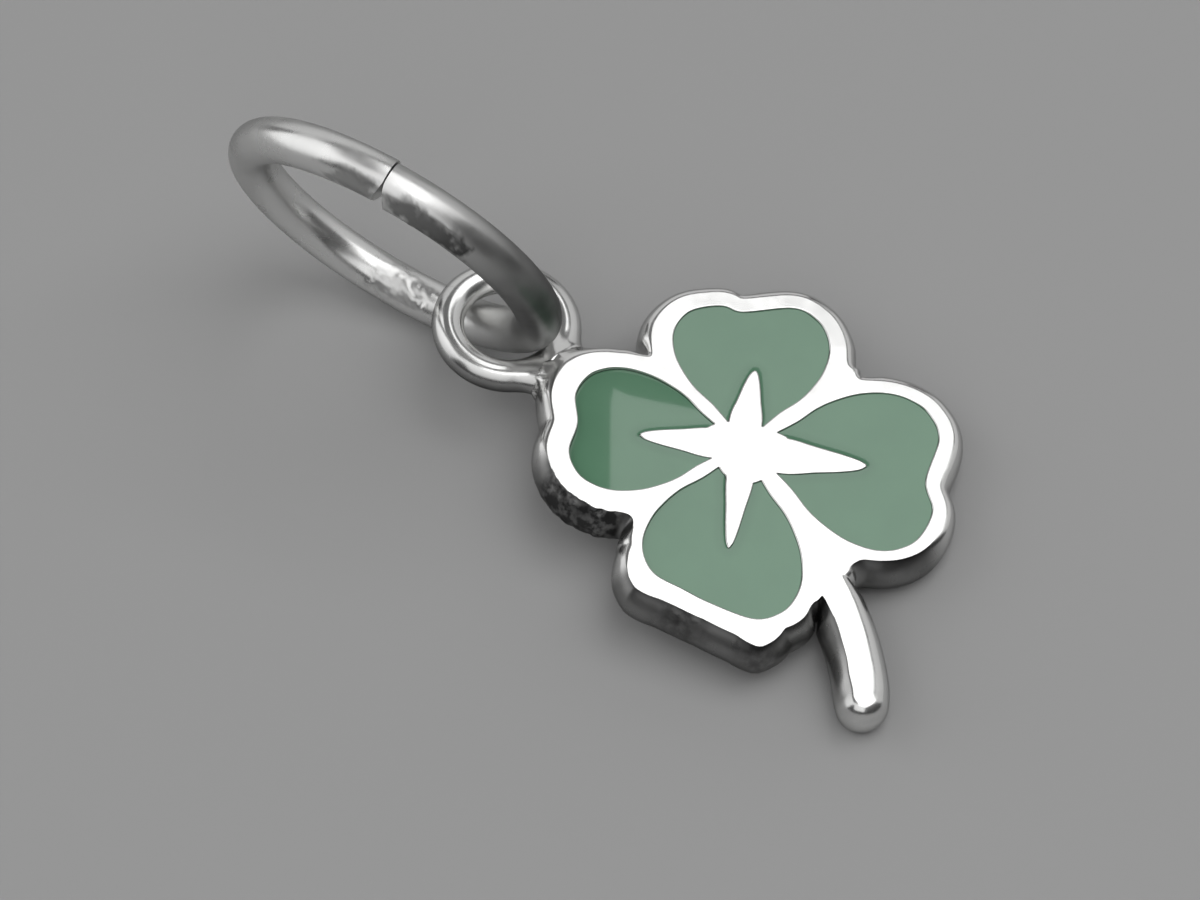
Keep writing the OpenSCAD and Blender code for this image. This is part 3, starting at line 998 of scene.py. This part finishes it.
def cast_plate(sizes, silver):
    """The plate with its star, side wall, back and cells, as one closed shell."""
    outline = face_outline(sizes, OUTLINE_STEPS)
    out = swell_directions(outline, 3 * OUTLINE_STEPS // PART_STEPS)
    nicks = rough_patches(outline, 1) * jitter(with_height(outline, 0), NICK_SCALE)
    edge = outline + (nicks - worn_back(outline))[:, None] * out
    cells = cell_outlines(sizes)
    shell, rims = face_shell(edge, cells, sizes)
    back, row = side_wall(shell, rims[0], outline, out, edge, sizes)
    flat_back(shell, back, row)
    for rim, cell in zip(rims[1:], cells):
        cell_walls(shell, rim, cell, sizes)
    plate = new_piece("clover_silver", shell.verts, shell.faces, silver)
    # The worn values also carry the wall's painted shade
    point_values(plate, "worn", shell.worn)
    point_values(plate, "pitted", shell.pitted)
    return plate


def eye_loop(sizes, eye, place, half, silver):
    """The eye's wire, duller and darker outside and underneath on the side that polishing missed; the
    darkening is partly painted shade.
    """
    loop = bent_wire("eye", {
        "Ring Radius": half, "Wire Thickness": eye.wire / MM, "Start Angle": math.pi / 2,
        "Sweep Angle": 2 * math.pi, "End Step": 0.0, "Steps": EYE_STEPS, "Material": silver,
    })
    move_points(loop, points_of(loop) + place)
    x, y, z = (points_of(loop) - place).T
    # Nearly 1 outside and underneath, and 0 inside and on top
    low = np.clip(0.3 + 1.2 * (np.hypot(x, y) - half - z) * MM / eye.wire, 0, 1)
    missed = 0.5 + 0.5 * np.cos(np.arctan2(y, x) - math.radians(sizes.crisp_turn))
    # Darker outside and underneath: partly tarnished silver, partly painted shade under the eye
    point_values(loop, "worn", EYE_WEAR + MISSED_WEAR_AND_SHADE * low * missed**2)
    return loop


def solder(plate, loop, loop_gap, eye, thick):
    """Fills the corners between the plate and the eye by moving their points out."""
    plate_gap = surface_gap(plate)
    blend = eye.solder_blend / MM
    points = points_of(plate)
    near = (loop_gap(points) < blend) & (points[:, 2] < thick - 0.001)
    # Level directions, short where the surface faces up or down
    aside = outward(plate)[near] * (1, 1, 0)
    aside /= np.maximum(np.linalg.norm(aside, axis=1), 0.2)[:, None]
    filled_in = flow(points[near], aside, loop_gap, blend)
    # On the eye's -X side the solder has run unevenly
    uneven = eye.solder_uneven * np.clip(-filled_in[:, 0], 0, 1) * jitter(filled_in, SOLDER_SCALE)
    points[near] = filled_in + (filled_in - points[near]) * uneven[:, None]
    move_points(plate, points)
    move_points(loop, flow(points_of(loop), outward(loop), plate_gap, blend))


class PENDANT_OT_clover(bpy.types.Operator):
    """Make the cast clover with its star, cells and soldered eye"""

    bl_idname = "pendant.clover"
    bl_label = "Clover"

    def execute(self, context):
        scene = context.scene
        sizes, eye = scene.clover_sizes, scene.eye_sizes
        silver = silver_finish("polished_silver", scene.finishes, scene.finishes.cast_satin)
        plate = cast_plate(sizes, silver)
        place, half = eye_place(sizes, eye)
        loop = eye_loop(sizes, eye, place, half, silver)
        solder(plate, loop, wire_gap(place, half, eye.wire / MM), eye, sizes.thickness / MM)
        body = joined("clover_silver", [plate, loop])
        body.data.transform(rest_matrix())
        dress(body, ["clover_body"])
        return {"FINISHED"}


def enamel_top(name, plan, gap, thick, enamel):
    """Heights of a fill's top at plan points that lie a gap from the veins: it climbs beside them, and
    falls away where the leaf's bends say so."""
    climb = enamel.rise / MM * np.exp(-gap / (enamel.reach / MM))
    top = thick - enamel.drop / MM + climb
    for leaf, turn, start, bend in BENDS:
        if leaf == name:
            run = np.maximum(0, plan @ unit(math.radians(turn)) - start)
            top -= math.radians(bend) / 2 * run**2
    return top


class PENDANT_OT_enamel(bpy.types.Operator):
    """Fill the four cells with green enamel that climbs a little at the veins"""

    bl_idname = "pendant.enamel"
    bl_label = "Enamel"

    def execute(self, context):
        scene = context.scene
        sizes, enamel = scene.clover_sizes, scene.enamel_sizes
        thick = sizes.thickness / MM
        floor = thick - (sizes.cell_depth - enamel.floor_gap) / MM
        green = enamel_finish("green_enamel", scene.finishes)
        veins = [vein_outline(i, sizes) for i in range(len(VEINS))]
        for name, cell in zip(LEAF_NAMES, cell_outlines(sizes)):
            edge = moved_out(cell, -enamel.edge_gap / MM, [cell], 0.9)
            plan, tris, (rim,) = filled(edge, [], ENAMEL_ROWS, ENAMEL_SPACING)
            gap = distance(plan, veins)
            top = enamel_top(name, plan, gap, thick, enamel)
            verts = [(*p, z) for p, z in zip(plan, top)]
            faces = [tuple(t) for t in tris]
            count = len(verts)
            verts += [(*p, floor) for p in plan]
            faces += [tuple(v + count for v in t[::-1]) for t in tris]
            for a, b in zip(rim, rim[1:] + rim[:1]):
                faces.append((b, a, a + count, b + count))
            piece = new_piece("enamel_" + name + "_fill", verts, faces, green)
            # Distance from the veins, which sets the enamel's painted shade beside them
            point_values(piece, "edge", list(gap) * 2)
            piece.data.transform(rest_matrix())
            dress(piece, ["enamel_" + name])
        return {"FINISHED"}


def seam_flare(past, across, z, ring, radius):
    """Radians by which the points of both ends are cut back, most at the wire's lower side, so that the
    seam opens there. Past is how far round the ring they lie from the seam."""
    half_wire = ring.wire / 2 / MM
    low = np.clip(-z / half_wire * 0.85 - 0.25 * across / half_wire, 0, 1)
    fade = np.clip(1 - abs(past) * radius / (ring.flare_reach / MM), 0, 1) ** 2
    return np.sign(past) * ring.flare / MM * low**1.5 * fade / radius


def plier_marks(along, round_wire, radius, half_wire, ragged):
    """How deep and how dull and dark the marks of pliers are at points of the ring, from 0 to 1, the dark
    partly painted shade.
    """
    dents, dull = np.zeros(len(along)), np.zeros(len(along))
    for degrees, wire_degrees, reach, width, dulled in MARKS:
        off = wrapped(along - math.radians(degrees))
        side = wrapped(round_wire - math.radians(wire_degrees))
        far = np.hypot(off * radius / reach, side * half_wire / width)
        mark = np.clip(3 * (1 + 0.5 * ragged - far), 0, 1)
        dents = np.maximum(dents, mark)
        dull = np.maximum(dull, dulled * mark)
    return dents, dull


class PENDANT_OT_jump_ring(bpy.types.Operator):
    """Bend the split jump ring"""

    bl_idname = "pendant.jump_ring"
    bl_label = "Jump ring"

    def execute(self, context):
        scene = context.scene
        ring = scene.ring_sizes
        radius, half_wire = (ring.hole + ring.wire) / 2 / MM, ring.wire / 2 / MM
        silver = silver_finish("ring_silver", scene.finishes, scene.finishes.ring_satin)
        gap = ring.seam_gap / MM / radius
        seam = math.radians(90 + ring.seam_turn)
        piece = bent_wire("jump_ring_wire", {
            "Ring Radius": radius, "Wire Thickness": ring.wire / MM,
            "Start Angle": seam + gap / 2, "Sweep Angle": 2 * math.pi - gap,
            "End Step": ring.end_step / MM, "Steps": RING_STEPS, "Material": silver,
        })
        points = points_of(piece)
        x, y, z = points.T
        along, across = np.arctan2(y, x), np.hypot(x, y) - radius
        flare = seam_flare(wrapped(along - seam), across, z, ring, radius)
        # Pliers have left shallow dents with ragged edges
        round_wire = np.arctan2(z, across)
        ragged = jitter(points, MARK_SCALE)
        # The marks' dullness darkens the wire below its highlight, partly as painted shade
        dents, dull = plier_marks(along, round_wire, radius, half_wire, ragged)
        dent = dents * ring.mark_depth / MM * (ragged - 0.5)
        across, z = across + dent * np.cos(round_wire), z + dent * np.sin(round_wire)
        along, reach = along + flare, radius + across
        move_points(piece, np.stack([reach * np.cos(along), reach * np.sin(along), z], axis=1))
        # Duller on the side that the eye rubs, and darkened there with painted shade
        rubbed_and_shaded = wrapped(along - math.radians(ring.rubbed_and_shaded_turn)) / RUBBED_FADE
        point_values(piece, "worn", POLISHED_WEAR + dull + RUBBED_WEAR_AND_SHADE * np.exp(-(rubbed_and_shaded**2)))
        piece.data.transform(ring_matrix())
        dress(piece, ["jump_ring"])
        return {"FINISHED"}


def area_light(name, sides, power, place):
    """A light that shines from a rectangle along its own -Z."""
    data = bpy.data.lights.new(name, "AREA")
    data.shape, data.energy = "RECTANGLE", power
    data.size, data.size_y = sides
    placed(name, data).matrix_world = place


class PENDANT_OT_stage(bpy.types.Operator):
    """Set up the floor, the lights and the camera"""

    bl_idname = "pendant.stage"
    bl_label = "Stage"

    def execute(self, context):
        scene = context.scene
        settings = scene.stage_settings
        scene.view_settings.view_transform = "Standard"
        self.floor(scene.finishes, settings)
        self.room(scene, settings)
        rise, turn = math.radians(settings.view_rise), math.radians(settings.view_turn)
        look = Matrix.Rotation(turn, 4, "Z") @ Matrix.Rotation(math.pi / 2 - rise, 4, "X")
        self.softbox(look, settings)
        for row in PANELS:
            self.panel(*row, settings)
        self.camera(scene, look, settings)
        return {"FINISHED"}

    def floor(self, finishes, settings):
        """The plain pale floor."""
        side = settings.floor_reach
        mesh = bpy.data.meshes.new("floor")
        mesh.from_pydata([(-side, -side, 0), (side, -side, 0), (side, side, 0), (-side, side, 0)],
                         [], [(0, 1, 2, 3)])
        material, tree, shader = shader_tree("pale_floor")
        connect(tree, shader, {"Base Color": (*finishes.floor, 1), "Roughness": 0.7})
        mesh.materials.append(material)
        placed("floor", mesh)

    def room(self, scene, settings):
        """The dim room, brighter overhead."""
        scene.world = bpy.data.worlds.new("room")
        scene.world.use_nodes = True
        tree = scene.world.node_tree
        place = tree.nodes.new("ShaderNodeTexCoord").outputs["Generated"]
        split = new_node(tree, "ShaderNodeSeparateXYZ", {"Vector": place})
        glow = ramp(tree, split.outputs["Z"], 0.0, 1.0, settings.low_sky, settings.high_sky)
        connect(tree, tree.nodes["Background"], {"Color": (1, 1, 1, 1), "Strength": glow})

    def camera(self, scene, look, settings):
        """The camera, at the photo's angle."""
        data = bpy.data.cameras.new("camera")
        data.lens, data.sensor_width, data.clip_start = settings.lens, 36, 5 * MM
        scene.camera = placed("camera", data)
        aim = Matrix.Translation([MM * a for a in AIM])
        scene.camera.matrix_world = aim @ look @ Matrix.Translation((0, 0, settings.view_distance))

    def softbox(self, look, settings):
        """The light that the polished face mirrors into the camera. Its edges lie a few degrees to
        the left of and below the mirrored line of sight."""
        normal = rest_matrix().to_3x3() @ Vector((0, 0, 1))
        normal.normalize()
        sight = look.to_3x3() @ Vector((0, 0, -1))
        sight = sight - 2 * sight.dot(normal) * normal
        aside = Vector((0, 0, 1)).cross(sight).normalized()
        up = sight.cross(aside)
        far, wide, tall = settings.softbox_distance, settings.softbox_width, settings.softbox_height
        left = far * math.tan(math.radians(settings.softbox_left))
        low = far * math.tan(math.radians(settings.softbox_low))
        place = far * sight + (left - wide / 2) * aside + (tall / 2 - low) * up
        turn = Matrix((aside, up, sight)).transposed().to_4x4()
        area_light("softbox", (wide, tall), settings.softbox_light, Matrix.Translation(place) @ turn)

    def panel(self, name, turn, rise, power, settings):
        """A dim panel that faces the pendant from a compass direction and height in degrees."""
        a, b = math.radians(turn), math.radians(rise)
        away = Vector((math.cos(a) * math.cos(b), math.sin(a) * math.cos(b), math.sin(b)))
        place = Matrix.Translation(settings.panel_distance * away)
        facing = away.to_track_quat("Z", "Y").to_matrix().to_4x4()
        area_light(name, [settings.panel_size] * 2, power, place @ facing)


class PENDANT_PT_panel(bpy.types.Panel):
    """The pendant's steps and sizes"""

    bl_idname = "PENDANT_PT_panel"
    bl_label = "Clover pendant"
    bl_space_type = "VIEW_3D"
    bl_region_type = "UI"
    bl_category = "Clover"

    def draw(self, context):
        for step in STEPS:
            self.layout.operator(step.bl_idname)
        for name in GROUPS:
            box = self.layout.box()
            group = getattr(context.scene, name)
            for key in group.__annotations__:
                box.prop(group, key)


GROUPS = {
    "clover_sizes": CloverSizes,
    "eye_sizes": EyeSizes,
    "ring_sizes": RingSizes,
    "enamel_sizes": EnamelSizes,
    "finishes": Finishes,
    "stage_settings": StageSettings,
}
STEPS = (PENDANT_OT_stage, PENDANT_OT_clover, PENDANT_OT_enamel, PENDANT_OT_jump_ring)
CLASSES = tuple(GROUPS.values()) + STEPS + (PENDANT_PT_panel,)


def register():
    for item in CLASSES:
        bpy.utils.register_class(item)
    for name, group in GROUPS.items():
        setattr(bpy.types.Scene, name, bpy.props.PointerProperty(type=group))


def unregister():
    for name in GROUPS:
        delattr(bpy.types.Scene, name)
    for item in reversed(CLASSES):
        bpy.utils.unregister_class(item)


def main():
    register()
    bpy.ops.pendant.stage()
    bpy.ops.pendant.clover()
    bpy.ops.pendant.enamel()
    bpy.ops.pendant.jump_ring()


if __name__ == "__main__":
    main()
